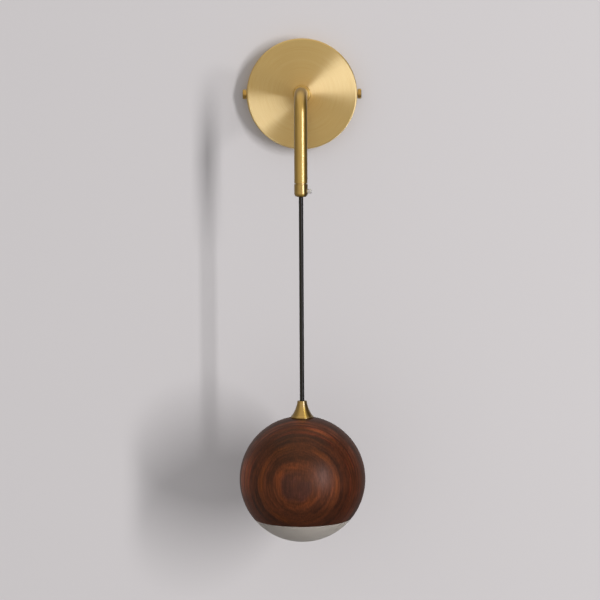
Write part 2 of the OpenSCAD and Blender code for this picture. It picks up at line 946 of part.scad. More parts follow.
// Spun aluminium cup with an L-shaped slot for each lug
module lamp_cup() {
    bottom = rim_z + cup_recess;
    color(aluminium)
        on_cord()
            difference() {
                translate([0, 0, bottom])
                    cylinder(r = cup_r, h = ceiling_z - seat_gap - bottom);
                translate([0, 0, bottom - cut])
                    cylinder(r = cup_in_r, h = cup_floor_z - bottom + cut);
                cylinder_hole(nipple_d + 2 * seat_gap, cup_floor_z);
                lug_places()
                    bayonet_slot(bottom);
                board_screw_places()
                    cylinder_hole(board_screw_d + 2 * seat_gap, cup_floor_z);
            }
}

// Hole through the cup's top plate
module cylinder_hole(d, z) {
    translate([0, 0, z - cut])
        cylinder(d = d, h = cup_wall + 2 * cut);
}

// Places of the lugs round the axis, in their locked position
module lug_places() {
    for (i = [0:lug_count - 1])
        rotate([0, 0, lug_start + i * 360 / lug_count])
            children();
}

// Way in from below, a little wider, then along to the locked end at angle 0
module bayonet_slot(bottom) {
    inner = cup_in_r - cut;
    outer = cup_r + cut;
    half = lug_angle / 2 + slot_room;
    entry_half = half + slot_room;
    ring_sector(inner, outer, lug_z - free_gap, lug_z + lug_h + free_gap, -half, 2 * half + twist_angle);
    ring_sector(inner, outer, bottom - cut, lug_z + lug_h, twist_angle - entry_half, 2 * entry_half);
}

// Screw places on the LED board, between the leads' pads
module board_screw_places() {
    for (i = [0:board_screw_count - 1])
        rotate([0, 0, 90 + i * 360 / board_screw_count])
            translate([board_screw_r, 0, 0])
                children();
}

module cup_washer() {
    color(steel)
        on_cord(nut_top_z)
            difference() {
                cylinder(r = nipple_nut_r, h = cup_washer_t);
                translate([0, 0, -cut])
                    cylinder(d = nipple_d + 2 * seat_gap, h = cup_washer_t + 2 * cut);
            }
}

module cup_nut() {
    color(steel)
        on_cord(nut_top_z - cup_nut_h)
            hex_nut(nipple_flats, nipple_d + 2 * seat_gap, cup_nut_h);
}

// Ring-shaped board round the nut
module led_board() {
    color(white)
        on_cord(board_z)
            difference() {
                cylinder(r = board_r, h = board_t);
                translate([0, 0, -cut])
                    cylinder(r = board_in_r, h = board_t + 2 * cut);
                board_screw_places()
                    translate([0, 0, -cut])
                        cylinder(d = board_screw_d + 2 * seat_gap, h = board_t + 2 * cut);
            }
}

// LEDs on a circle under the board
module led_chips() {
    color("#e6d27a")
        on_cord(board_z - led_h)
            for (i = [0:led_count - 1])
                rotate([0, 0, (i + 0.5) * 360 / led_count])
                    translate([led_ring_r - led_w / 2, -led_w / 2, 0])
                        cube([led_w, led_w, led_h]);
}

module board_screws() {
    color(steel)
        on_cord(board_z)
            board_screw_places()
                rotate([180, 0, 0])
                    pan_screw(board_screw_d, board_t + cup_wall, 2 * board_screw_d, board_screw_d / 2);
}

// Cores from the crimp out to the board's pads
module board_leads() {
    clear_z = nut_top_z - cup_nut_h - core_d;
    color(copper)
        on_cord()
            for (side = [-1, 1])
                lead(curve([
                    [side * core_d, 0, cord_end_z - free_gap],
                    [side * (core_d + 0.6), 0, cord_end_z - 2.5],
                    [side * (nipple_nut_r - 3), 0, cord_end_z - 1.5],
                    [side * (pad_ring_r - 1), 0, clear_z - 1],
                    [side * pad_ring_r, 0, board_z - seat_gap]
                ], 4), core_d);
}

// Opal cap with a flange, a skirt in the cup and bayonet lugs
module diffuser() {
    color(opal)
        on_cord() {
            translate([0, 0, ball_z])
                rotate_extrude()
                    difference() {
                        opal_outline();
                        intersection() {
                            circle(ball_r - opal_wall, $fn = 180);
                            translate([0, -ball_r])
                                square([ball_r, ball_r - rim_drop - shadow_gap - opal_wall]);
                        }
                        translate([0, -rim_drop - shadow_gap - opal_wall - cut])
                            square([skirt_in_r, opal_wall + skirt_h + ball_r]);
                    }
            lug_places()
                ring_sector(skirt_r - skirt_wall / 2, lug_r, lug_z, lug_z + lug_h,
                    -lug_angle / 2, lug_angle);
        }
}

// Outside of the opal cap and its skirt, from the ball's centre
module opal_outline() {
    intersection() {
        circle(ball_r, $fn = 180);
        translate([0, -ball_r])
            square([ball_r, ball_r - rim_drop - shadow_gap]);
    }
    translate([0, -rim_drop - shadow_gap - opal_wall])
        square([skirt_r, opal_wall + shadow_gap + skirt_h]);
}

wall_bracket();
earth_screw();
terminal_block();
terminal_clamps();
terminal_screws();
block_screws();
canopy();
canopy_screw_left();
canopy_screw_right();
arm_collar();
arm_tube();
arm_stud();
arm_washer();
arm_nut();
led_driver();
driver_pad();
supply_leads();
output_leads();
arm_ferrule();
grip_screw();
cord_inner();
cord_upper();
cord_lower();
cord_stop();
cord_cone();
ball_nipple();
ball_shell();
lamp_cup();
cup_washer();
cup_nut();
led_board();
led_chips();
board_screws();
board_leads();
diffuser();
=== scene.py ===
"""Wall sconce: a brass canopy and bent arm carry a walnut ball lamp on a cord."""

import json
import math

import bmesh
import bpy
from bmesh.types import BMEdge, BMFace, BMVert
from mathutils import Matrix, Vector
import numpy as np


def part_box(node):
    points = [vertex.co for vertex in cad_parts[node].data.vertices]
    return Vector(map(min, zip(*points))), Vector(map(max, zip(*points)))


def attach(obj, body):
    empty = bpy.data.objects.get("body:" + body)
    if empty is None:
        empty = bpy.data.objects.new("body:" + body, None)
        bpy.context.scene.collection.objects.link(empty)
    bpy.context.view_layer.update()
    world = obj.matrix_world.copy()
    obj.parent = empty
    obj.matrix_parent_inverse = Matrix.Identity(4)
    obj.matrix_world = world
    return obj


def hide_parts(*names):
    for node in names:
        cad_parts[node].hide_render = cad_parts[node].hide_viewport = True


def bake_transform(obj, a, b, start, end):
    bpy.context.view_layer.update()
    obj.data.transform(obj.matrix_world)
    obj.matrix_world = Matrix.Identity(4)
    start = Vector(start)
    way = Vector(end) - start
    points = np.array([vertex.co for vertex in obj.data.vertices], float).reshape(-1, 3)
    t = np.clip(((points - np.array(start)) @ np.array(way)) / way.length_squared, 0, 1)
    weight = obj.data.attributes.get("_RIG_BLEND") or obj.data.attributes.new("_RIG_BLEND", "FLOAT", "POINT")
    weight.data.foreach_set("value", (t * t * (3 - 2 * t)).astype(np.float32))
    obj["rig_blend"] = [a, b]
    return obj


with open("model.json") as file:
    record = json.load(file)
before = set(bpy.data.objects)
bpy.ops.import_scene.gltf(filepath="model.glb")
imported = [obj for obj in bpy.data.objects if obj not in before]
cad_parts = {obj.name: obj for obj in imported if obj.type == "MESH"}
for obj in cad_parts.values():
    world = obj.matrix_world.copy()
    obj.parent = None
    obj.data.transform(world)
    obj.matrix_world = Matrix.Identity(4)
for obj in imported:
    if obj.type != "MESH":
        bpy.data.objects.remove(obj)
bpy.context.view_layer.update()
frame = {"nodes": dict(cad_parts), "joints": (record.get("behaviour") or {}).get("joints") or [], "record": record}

bl_info = {
    "name": "Wall Sconce",
    "version": (1, 0, 0),
    "blender": (4, 5, 0),
    "location": "View3D > Sidebar > Sconce",
    "description": "Builds a brass wall sconce with a walnut ball lamp on a cord",
    "category": "Object",
}

# Steps of a full turn, of a drawn arc and of a rounded corner
TURN_STEPS = 240
ARC_STEPS = 48
ROUND_STEPS = 6
# Steps round the tube and along its bend
TUBE_STEPS = 64
BEND_STEPS = 32
# Steps round the cord, steps of its path, and the length of a ring of its mesh
CORD_STEPS = 24
CORD_RING = 0.001
# Steps from one groove of a side screw's head to the next
KNURL_STEPS = 6
# Points this close are merged, and points this close lie on one wall
MERGED = 1e-6
ON_WALL = 0.0001
# Places of the bayonet lugs round the skirt
LUG_PLACES = [math.radians(angle) for angle in (30, 150, 270)]
# Edges sharper than this keep a crease in the shading
CREASE = math.radians(32)
# Turns a shape made along +Z so that it stands out of the wall, along -Y
FROM_WALL = Matrix.Rotation(math.pi / 2, 4, "X")
# Axis of the cord, which the hanging pieces are turned round
CORD_Y = sum(corner.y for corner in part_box("cord_lower")) / 2
ON_CORD = Matrix.Translation((0, CORD_Y, 0))
BALL_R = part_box("ball_shell")[1].x
BALL_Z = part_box("diffuser")[0].z + BALL_R
BALL_MM = 1000 * BALL_R
# Span of most of a noise's levels
NOISE_SPAN = {"From Min": 0.3, "From Max": 0.7}
SMOOTH = {"interpolation_type": "SMOOTHSTEP"}


def linear(code):
    """Linear red, green and blue of an sRGB hex value."""
    parts = [int(code[i:i + 2], 16) / 255 for i in (0, 2, 4)]
    return tuple(
        c / 12.92 if c <= 0.04045 else ((c + 0.055) / 1.055) ** 2.4 for c in parts
    )


def length(name, description, default):
    """A size in metres that a user may change."""
    return bpy.props.FloatProperty(
        name=name, description=description, default=default, min=0.0, precision=5,
        unit="LENGTH",
    )


def colour(name, description, code):
    """A colour that a user may change, given as an sRGB hex value."""
    return bpy.props.FloatVectorProperty(
        name=name, description=description, default=linear(code), min=0.0, max=1.0,
        size=3, subtype="COLOR",
    )


def width_of(node):
    """Width of a CAD node across the wall."""
    low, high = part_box(node)
    return high.x - low.x


class SconceSizes(bpy.types.PropertyGroup):
    """Sizes of the visible pieces, in metres."""

    canopy_diameter: length(
        "Canopy diameter", "Outside diameter of the spun cup", width_of("canopy"))
    canopy_depth: length(
        "Canopy depth", "Distance of the front face from the wall", -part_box("canopy")[0].y)
    canopy_wall: length("Canopy sheet", "Thickness of the spun sheet", 0.001)
    canopy_edge: length("Canopy edge", "Radius of the rolled front edge", 0.0018)
    knob_rounding: length("Knob rounding", "Rounding of a side screw's head", 0.0008)
    knob_length: length("Knob length", "Length of a side screw's head", 0.0039)
    knurl_depth: length("Knurl depth", "Depth of a groove in a side screw's head", 0.00028)
    knurl_count: bpy.props.IntProperty(
        name="Knurls", description="Grooves round a side screw's head", default=28, min=8)
    side_thread: length("Side thread", "Thread diameter of a side screw", 0.004)
    collar_edge: length("Collar edge", "Rounding of the collar's front edge", 0.0012)
    tube_diameter: length("Tube diameter", "Outside diameter of the arm", width_of("arm_tube"))
    tube_wall: length("Tube wall", "Wall thickness of the arm", 0.001)
    bend_radius: length("Bend radius", "Centre-line radius of the arm's bend", 0.021)
    seam: length("Seam", "Height of the gap between tube and ferrule", 0.0008)
    ferrule_edge: length("Ferrule edge", "Rounding at the ferrule's mouth", 0.0034)
    bore: length("Cord bore", "Diameter of the cord's hole in the brass pieces", 0.0048)
    cord_diameter: length("Cord diameter", "Diameter of the cord", width_of("cord_lower"))
    cord_bend: length("Cord bend", "Length of cord that bends at the lower joint", 0.0165)
    cord_tail: length("Cord tail", "Length of cord inside the cone", 0.003)
    cone_top: length("Cone top", "Diameter of the cone's top", 0.0089)
    cone_bead: length("Cone bead", "Height of the bead round the cone's base", 0.0014)
    cone_flare: length("Cone flare", "Radius of the cone's hollow flare", 0.03)
    cone_rounding: length("Cone rounding", "Rounding of the cone's top edge", 0.0003)
    seat_diameter: length("Ball seat", "Diameter of the flat under the cone", 0.0226)
    ball_bore: length("Ball bore", "Diameter of the hole through the ball's top", 0.0106)
    rim_edge: length("Wood edge", "Width of the wood's lower edge", 0.0044)
    rim_rounding: length("Wood rounding", "Rounding of the wood's lower edge", 0.0004)
    cavity_depth: length("Cavity depth", "Depth of the ball's bored cavity", 0.044)
    opal_wall: length("Opal wall", "Wall thickness of the opal cap", 0.0025)
    opal_rounding: length("Opal rounding", "Rounding of the opal cap's edge", 0.0006)
    opal_gap: length("Opal gap", "Gap between the wood and the opal cap", 0.0005)
    opal_ledge: length("Opal ledge", "Width of the ledge round the opal cap's skirt", 0.0061)
    skirt_wall: length("Skirt wall", "Wall thickness of the opal cap's skirt", 0.002)
    lug_drop: length("Lug drop", "Distance of the bayonet lugs below the skirt's top", 0.003)
    lug_height: length("Lug height", "Height of a bayonet lug", 0.003)
    lug_reach: length("Lug reach", "Distance that a bayonet lug stands out", 0.0013)
    lug_angle: bpy.props.FloatProperty(
        name="Lug width", description="Width of a bayonet lug", default=math.radians(9),
        subtype="ANGLE")


class SconceColours(bpy.types.PropertyGroup):
    """Colours of the finishes."""

    brass: colour("Brass", "Brushed brass", "FCDA93")
    brass_shade: colour("Brass shade", "Brushed brass in the brush lines", "F2C87B")
    polish: colour("Polish", "Polished brass", "D0A43C")
    polish_shade: colour("Polish shade", "Polished brass in the polishing lines", "BE922E")
    walnut_heart: colour("Walnut heart", "Dark middle of the figure", "371A15")
    walnut_ring: colour("Walnut ring", "Bright ring round the middle", "572710")
    walnut_dark: colour("Walnut dark", "Dark growth layers", "32160C")
    walnut_mid: colour("Walnut mid", "Growth layers of a middle brown", "452010")
    walnut_gold: colour("Walnut gold", "Golden growth layers", "51260E")
    walnut_red: colour("Walnut red", "Reddish growth layers", "562311")
    walnut_pale: colour("Walnut pale", "Pale outer layers", "683521")
    walnut_gleam: colour("Walnut gleam", "Warm gleam of the oiled fibres", "FFDCB4")
    opal: colour("Opal", "Opal acrylic", "BEAFA2")
    cord: colour("Cord", "Braid of the cord", "040404")
    cord_crown: colour("Cord crown", "Raised threads of the braid", "090909")
    cord_gleam: colour("Cord gleam", "Gleam on the cord", "FFEFD2")
    nylon: colour("Nylon", "Natural nylon", "DAD8D4")
    zinc: colour("Zinc plate", "Zinc-plated steel strip", "B4B6B4")
    steel: colour("Steel", "Bright screws and nuts", "C4C6C8")
    plastic: colour("Plastic", "Terminal block and driver box", "E6E3DA")
    aluminium: colour("Aluminium", "Spun cup and crimp", "D2D3D5")
    solder_mask: colour("Solder mask", "White mask of the LED board", "ECECE6")
    phosphor: colour("Phosphor", "LED phosphor", "E4CC66")
    foam: colour("Foam", "Closed-cell foam pad", "4A4C4F")
    lead_sheath: colour("Lead sheath", "Insulation of the leads", "262424")
    wall: colour("Wall", "Painted wall", "C7C3C4")
    floor: colour("Floor", "Pale floor", "F4F2F0")


# Materials

def add(tree, kind, settings=None, inputs=None):
    """Add a shader node with its settings, and set or link its inputs."""
    made = tree.nodes.new("ShaderNode" + kind)
    for name, value in (settings or {}).items():
        if name == "stops":
            ramp = made.color_ramp.elements
            while len(ramp) < len(value):
                ramp.new(1.0)
            for stop, (place, shade) in zip(ramp, value):
                stop.position = place
                stop.color = (*shade, 1.0)
        else:
            setattr(made, name, value)
    for name, value in (inputs or {}).items():
        if isinstance(value, bpy.types.NodeSocket):
            tree.links.new(value, made.inputs[name])
        else:
            made.inputs[name].default_value = value
    return made


def start(name):
    """A new material with an empty node tree."""
    material = bpy.data.materials.new(name)
    material.use_nodes = True
    material.node_tree.nodes.clear()
    return material, material.node_tree


def mottle(tree, vector, scale, shade, share, detail=2.0, low=0.3):
    """A noise, and a colour that it darkens here and there to a share of its level."""
    noise = add(tree, "TexNoise", None, {"Vector": vector, "Scale": scale, "Detail": detail})
    tone = add(tree, "ValToRGB", {
        "stops": ((low, [share * c for c in shade]), (1 - low, shade))},
        {"Fac": noise.outputs["Fac"]})
    return noise, tone


def brass(name, tones, line, roughness, anisotropic, relief, twist=0.0, coat=0.0):
    """Brass whose polishing lines run round the piece, a given distance apart.

    The lines pull the light into a fan across a flat face, and a twist, in turns, lays them
    on a slight spiral. A coat is clear lacquer.
    """
    material, tree = start(name)
    uv = add(tree, "UVMap", {"uv_map": "turned"})
    place = add(tree, "TexCoord")
    slow = add(tree, "VectorMath", {"operation": "SCALE"}, {
        "Vector": place.outputs["Object"], "Scale": 1 / 0.02})
    stretched = add(tree, "VectorMath", {"operation": "MULTIPLY_ADD"}, {
        0: uv.outputs["UV"], 1: (1 / line, 0, 0), 2: slow.outputs["Vector"]})
    grit = add(tree, "TexNoise", None, {
        "Vector": stretched.outputs["Vector"], "Scale": 1.0, "Detail": 4.0,
        "Roughness": 0.65})
    tone = add(tree, "ValToRGB", {"stops": ((0.3, tones[1]), (0.7, tones[0]))}, {
        "Fac": grit.outputs["Fac"]})
    gloss = add(tree, "MapRange", None, {
        "Value": grit.outputs["Fac"], **NOISE_SPAN,
        "To Min": roughness + 0.03, "To Max": roughness - 0.03})
    bump = add(tree, "Bump", None, {
        "Height": grit.outputs["Fac"], "Strength": relief, "Distance": 0.00005})
    tangent = add(tree, "Tangent", {"direction_type": "UV_MAP", "uv_map": "turned"})
    shader = add(tree, "BsdfPrincipled", None, {
        "Base Color": tone.outputs["Color"], "Metallic": 1.0,
        "Roughness": gloss.outputs["Result"], "Anisotropic": anisotropic,
        "Anisotropic Rotation": twist, "Tangent": tangent.outputs["Tangent"],
        "Coat Weight": coat, "Coat Roughness": 0.28, "Coat IOR": 1.7,
        "Normal": bump.outputs["Normal"]})
    add(tree, "OutputMaterial", None, {"Surface": shader.outputs["BSDF"]})
    return material


def polished(name, line, roughness, anisotropic):
    """Polished brass under clear lacquer: deep yellow, with a pale, narrow gleam."""
    colours = bpy.context.scene.sconce_colours
    tones = colours.polish, colours.polish_shade
    return brass(name, tones, line, roughness, anisotropic, 0.012, coat=1.0)


def growth_layers(tree, colours, grain, depth_mm, wander_mm):
    """Colours of the walnut's growth layers, by their depth below the ball's front."""
    heart, ring, dark = colours.walnut_heart, colours.walnut_ring, colours.walnut_dark
    mid, gold = colours.walnut_mid, colours.walnut_gold
    red, pale = colours.walnut_red, colours.walnut_pale
    # Depth in millimetres, and the colour there
    layers = (
        (0.0, heart), (1.3, heart), (2.5, ring), (3.1, ring), (4.9, dark), (7.6, dark),
        (9.2, mid), (11.0, gold), (12.2, gold), (14.8, dark), (16.4, dark), (18.0, mid),
        (20.0, dark), (22.0, dark), (24.0, red), (26.5, mid), (29.0, gold), (31.0, red),
        (32.6, dark), (34.0, pale), (36.2, mid), (39.0, pale), (42.0, mid), (46.0, dark),
        (53.0, gold), (60.0, mid), (66.0, dark), (74.0, gold), (84.0, dark), (94.0, gold),
        (104.0, dark), (112.0, pale),
    )
    depth = add(tree, "MapRange", None, {
        "Value": depth_mm, "From Min": wander_mm / 2 - BALL_MM,
        "From Max": wander_mm / 2 + BALL_MM})
    rings = add(tree, "ValToRGB", {
        "stops": [(mm / (2 * BALL_MM), shade) for mm, shade in layers]},
        {"Fac": depth.outputs["Result"]})
    # The layers fade here and there into the middle brown
    cloud = add(tree, "TexNoise", None, {"Vector": grain, "Scale": 1 / 22, "Detail": 2.0})
    fade = add(tree, "MapRange", SMOOTH, {
        "Value": cloud.outputs["Fac"], "From Min": 0.4, "From Max": 0.62, "To Max": 0.8})
    figure = add(tree, "Mix", {"data_type": "RGBA"}, {
        0: fade.outputs["Result"], 6: rings.outputs["Color"], 7: (*mid, 1.0)})
    return figure.outputs[2]


def painted_light_and_patches(tree, grain, split):
    """Shares of painted light and shade: paler on the left, darker on the right and at the foot, and patches."""
    # Painted light on the left side, away from the lamps, and painted shade on the lit right side
    side = add(tree, "MapRange", SMOOTH, {
        "Value": split.outputs["X"], "From Min": -58.0, "From Max": 58.0,
        "To Min": 1.55, "To Max": 0.84})
    # Painted shade: darker towards the foot of the ball, where less light falls
    foot = add(tree, "MapRange", SMOOTH, {
        "Value": split.outputs["Z"], "From Min": -42.0, "From Max": -8.0, "To Min": 0.66})
    shares = [side, foot]
    # Middle and reach of each patch in millimetres; the last, flat along its layer, is a short painted glint.
    for middle, flat, nearest, farthest, most in (
        # A darker patch at the upper left
        ((-16.0, -46.0, 36.0), 1.0, 8.0, 32.0, 0.66),
        # A painted sheen right of the middle, where the gleam lamp shines on the oil
        ((28.0, -48.0, -4.0), 1.0, 4.0, 22.0, 1.5),
        # Painted light on the left edge, which lies away from the lamps
        ((-51.0, -30.0, 6.0), 1.0, 6.0, 26.0, 1.7),
        # A paler patch on the right
        ((43.0, -42.0, 3.0), 1.0, 3.0, 15.0, 1.2),
        # A painted glint near the top, standing in for a gleam of light from above
        ((19.0, -30.4, 48.2), 4.5, 0.0, 18.0, 2.9),
    ):
        squeezed = add(tree, "VectorMath", {"operation": "MULTIPLY"}, {
            0: grain, 1: (1.0, flat, 1.0)})
        apart = add(tree, "VectorMath", {"operation": "DISTANCE"}, {
            0: squeezed.outputs["Vector"], 1: (middle[0], flat * middle[1], middle[2])})
        shares.append(add(tree, "MapRange", SMOOTH, {
            "Value": apart.outputs["Value"], "From Min": nearest, "From Max": farthest,
            "To Min": most}))
    return shares


def walnut():
    """Turned walnut in satin oil: growth layers cut flat at the front show as rings.

    The eye sees a dark middle, a bright ring and golden bands, with upright fibres.
    """
    colours = bpy.context.scene.sconce_colours
    material, tree = start("walnut_turned_satin_oil")
    place = add(tree, "TexCoord")
    # Millimetres from the ball's middle: Y runs through the growth layers, Z along the fibres
    tilt = (math.radians(-2.9), 0, math.radians(-3.7))
    centred = add(tree, "Mapping", {"vector_type": "TEXTURE"}, {
        "Vector": place.outputs["Object"], "Location": (0, CORD_Y, BALL_Z),
        "Rotation": tilt, "Scale": (0.001,) * 3})
    grain = centred.outputs["Vector"]
    split = add(tree, "SeparateXYZ", None, {"Vector": grain})
    # Layers wander by a millimetre or two over a few centimetres
    wander_mm = 4.0
    drift = add(tree, "Mapping", None, {"Vector": grain, "Scale": (1 / 24, 1 / 24, 1 / 40)})
    wander = add(tree, "TexNoise", None, {
        "Vector": drift.outputs["Vector"], "Scale": 1.0, "Detail": 5.0, "Roughness": 0.6})
    pushed = add(tree, "Math", {"operation": "MULTIPLY_ADD"}, {
        0: wander.outputs["Fac"], 1: wander_mm, 2: split.outputs["Y"]})
    figure = growth_layers(tree, colours, grain, pushed.outputs["Value"], wander_mm)
    # Thin year lines, about one in a millimetre of depth, which come and go over centimetres
    run = add(tree, "CombineXYZ", None, {
        "X": pushed.outputs["Value"], "Y": split.outputs["X"], "Z": split.outputs["Z"]})
    year_place = add(tree, "Mapping", None, {
        "Vector": run.outputs["Vector"], "Scale": (1 / 1.1, 1 / 24, 1 / 36)})
    year = add(tree, "TexNoise", None, {
        "Vector": year_place.outputs["Vector"], "Scale": 1.0, "Detail": 2.0})
    # Fibres are about 0.4 mm wide and pores 0.3 mm, so both are drawn three times coarser
    fibre_place = add(tree, "Mapping", None, {
        "Vector": grain, "Scale": (1 / 1.3, 1 / 1.3, 1 / 26)})
    fibre = add(tree, "TexNoise", None, {
        "Vector": fibre_place.outputs["Vector"], "Scale": 1.0, "Detail": 5.0,
        "Roughness": 0.65})
    pore_place = add(tree, "Mapping", None, {
        "Vector": grain, "Scale": (1 / 0.9, 1 / 0.9, 1 / 7)})
    pore = add(tree, "TexVoronoi", {"feature": "F1"}, {
        "Vector": pore_place.outputs["Vector"], "Scale": 1.0})
    pit = add(tree, "MapRange", SMOOTH, {
        "Value": pore.outputs["Distance"], "From Min": 0.12, "From Max": 0.32})
    # Fibres, year lines, pores, patches and painted light and shade make it paler or darker
    streak = add(tree, "MapRange", None, {
        "Value": fibre.outputs["Fac"], **NOISE_SPAN, "To Min": 0.62, "To Max": 1.38})
    line = add(tree, "MapRange", None, {
        "Value": year.outputs["Fac"], **NOISE_SPAN, "To Min": 0.62, "To Max": 1.34})
    shade = add(tree, "MapRange", None, {
        "Value": pit.outputs["Result"], "To Min": 0.72, "To Max": 1.0})
    level = 1.0
    for share in (streak, line, shade, *painted_light_and_patches(tree, grain, split)):
        level = add(tree, "Math", {"operation": "MULTIPLY"}, {
            0: level, 1: share.outputs["Result"]}).outputs["Value"]
    wood = add(tree, "VectorMath", {"operation": "SCALE"}, {
        "Vector": figure, "Scale": level})
    gloss = add(tree, "MapRange", None, {
        "Value": fibre.outputs["Fac"], **NOISE_SPAN, "To Min": 0.47, "To Max": 0.37})
    relief = add(tree, "Math", {"operation": "MULTIPLY_ADD"}, {
        0: fibre.outputs["Fac"], 1: 0.4, 2: pit.outputs["Result"]})
    bump = add(tree, "Bump", None, {
        "Height": relief.outputs["Value"], "Strength": 0.25, "Distance": 0.00008})
    shader = add(tree, "BsdfPrincipled", None, {
        "Base Color": wood.outputs["Vector"], "Roughness": gloss.outputs["Result"],
        "IOR": 1.5, "Specular IOR Level": 0.36, "Specular Tint": (*colours.walnut_gleam, 1.0),
        "Normal": bump.outputs["Normal"]})
    add(tree, "OutputMaterial", None, {"Surface": shader.outputs["BSDF"]})
    return material


def opal_acrylic():
    """Opal acrylic, moulded with a satin skin: milky and even, with a soft gleam."""
    colours = bpy.context.scene.sconce_colours
    material, tree = start("opal_acrylic_moulded_satin")
    place = add(tree, "TexCoord")
    _, tone = mottle(tree, place.outputs["Object"], 1 / 0.02, colours.opal, 0.97, low=0.35)
    frost = add(tree, "TexNoise", None, {
        "Vector": place.outputs["Object"], "Scale": 1 / 0.0008, "Detail": 2.0})
    gloss = add(tree, "MapRange", None, {
        "Value": frost.outputs["Fac"], "To Min": 0.34, "To Max": 0.44})
    bump = add(tree, "Bump", None, {
        "Height": frost.outputs["Fac"], "Strength": 0.05, "Distance": 0.00005})
    shader = add(tree, "BsdfPrincipled", None, {
        "Base Color": tone.outputs["Color"], "Roughness": gloss.outputs["Result"],
        "IOR": 1.49, "Subsurface Weight": 1.0, "Subsurface Radius": (1.0, 0.95, 0.9),
        "Subsurface Scale": 0.03, "Normal": bump.outputs["Normal"]})
    add(tree, "OutputMaterial", None, {"Surface": shader.outputs["BSDF"]})
    return material


def braided_cord():
    """Rayon braid over a round cable: near black, with fine crossing threads and a sheen."""
    colours = bpy.context.scene.sconce_colours
    material, tree = start("rayon_braided_black")
    uv = add(tree, "UVMap", {"uv_map": "turned"})
    # Eight pairs of threads round the cord, crossing every 1.6 mm along it
    waves = []
    for lay in (0.0016, -0.0016):
        slope = add(tree, "VectorMath", {"operation": "DOT_PRODUCT"}, {
            0: uv.outputs["UV"], 1: (math.tau / lay, math.tau * 8, 0)})
        waves.append(add(tree, "Math", {"operation": "SINE"}, {0: slope.outputs["Value"]}))
    thread = add(tree, "Math", {"operation": "MAXIMUM"}, {
        0: waves[0].outputs["Value"], 1: waves[1].outputs["Value"]})
    tone = add(tree, "ValToRGB", {"stops": ((0.0, colours.cord), (1.0, colours.cord_crown))},
               {"Fac": thread.outputs["Value"]})
    bump = add(tree, "Bump", None, {
        "Height": thread.outputs["Value"], "Strength": 0.15, "Distance": 0.00012})
    shader = add(tree, "BsdfPrincipled", None, {
        "Base Color": tone.outputs["Color"], "Roughness": 0.36, "IOR": 1.5,
        "Specular IOR Level": 0.48, "Specular Tint": (*colours.cord_gleam, 1.0),
        "Normal": bump.outputs["Normal"]})
    add(tree, "OutputMaterial", None, {"Surface": shader.outputs["BSDF"]})
    return material


def grained(name, shade, grain, metallic, roughness, relief, stretch=(1, 1, 1)):
    """A plain finish with a fine grain of a given size, which may be stretched one way."""
    material, tree = start(name)
    place = add(tree, "TexCoord")
    spread = add(tree, "Mapping", None, {
        "Vector": place.outputs["Object"], "Scale": [s / grain for s in stretch]})
    speck, tone = mottle(tree, spread.outputs["Vector"], 1.0, shade, 0.88, detail=3.0)
    gloss = add(tree, "MapRange", None, {
        "Value": speck.outputs["Fac"], **NOISE_SPAN,
        "To Min": roughness + 0.06, "To Max": roughness - 0.04})
    bump = add(tree, "Bump", None, {
        "Height": speck.outputs["Fac"], "Strength": relief, "Distance": 0.0001})
    shader = add(tree, "BsdfPrincipled", None, {
        "Base Color": tone.outputs["Color"], "Metallic": metallic,
        "Roughness": gloss.outputs["Result"], "Normal": bump.outputs["Normal"]})
    add(tree, "OutputMaterial", None, {"Surface": shader.outputs["BSDF"]})
    return material


def nylon():
    """Natural nylon, moulded: clear enough that light glows through its edges."""
    colours = bpy.context.scene.sconce_colours
    material, tree = start("nylon_moulded_natural")
    place = add(tree, "TexCoord")
    haze, tone = mottle(tree, place.outputs["Object"], 1 / 0.0012, colours.nylon, 0.9)
    gloss = add(tree, "MapRange", None, {
        "Value": haze.outputs["Fac"], "To Min": 0.22, "To Max": 0.34})
    shader = add(tree, "BsdfPrincipled", None, {
        "Base Color": tone.outputs["Color"], "Roughness": gloss.outputs["Result"],
        "IOR": 1.53, "Transmission Weight": 0.6, "Subsurface Weight": 0.6,
        "Subsurface Radius": (1.0, 1.0, 0.95), "Subsurface Scale": 0.002})
    add(tree, "OutputMaterial", None, {"Surface": shader.outputs["BSDF"]})
    return material


def pale_paint(name, shade):
    """Matt emulsion paint, seen only from its front."""
    material, tree = start(name)
    place = add(tree, "TexCoord")
    _, tone = mottle(tree, place.outputs["Object"], 1 / 0.6, shade, 0.985)
    paint = add(tree, "BsdfDiffuse", None, {"Color": tone.outputs["Color"]})
    gone = add(tree, "BsdfTransparent")
    side = add(tree, "NewGeometry")
    shown = add(tree, "MixShader", None, {
        "Fac": side.outputs["Backfacing"], 1: paint.outputs["BSDF"], 2: gone.outputs["BSDF"]})
    add(tree, "OutputMaterial", None, {"Surface": shown.outputs["Shader"]})
    return material


# Shapes

def only(geom, kind):
    """The elements of one kind among those that an operator made."""
    return [element for element in geom if isinstance(element, kind)]


def unwrap(bm, along):
    """Lay the UV map "turned": U runs along the piece in metres, V once round the Z axis."""
    layer = bm.loops.layers.uv.new("turned")
    for face in bm.faces:
        middle = face.calc_center_median()
        base = math.atan2(middle.y, middle.x) / math.tau
        for loop in face.loops:
            turn = math.atan2(loop.vert.co.y, loop.vert.co.x) / math.tau
            step = math.remainder(turn - base, 1.0)
            loop[layer].uv = (along(loop.vert), base + step)


def piece_from(bm, name):
    """Make an object of a finished bmesh, smooth but for its creases."""
    mesh = bpy.data.meshes.new(name)
    bm.to_mesh(mesh)
    bm.free()
    mesh.shade_smooth()
    mesh.set_sharp_from_angle(angle=CREASE)
    piece = bpy.data.objects.new(name, mesh)
    bpy.context.scene.collection.objects.link(piece)
    return piece


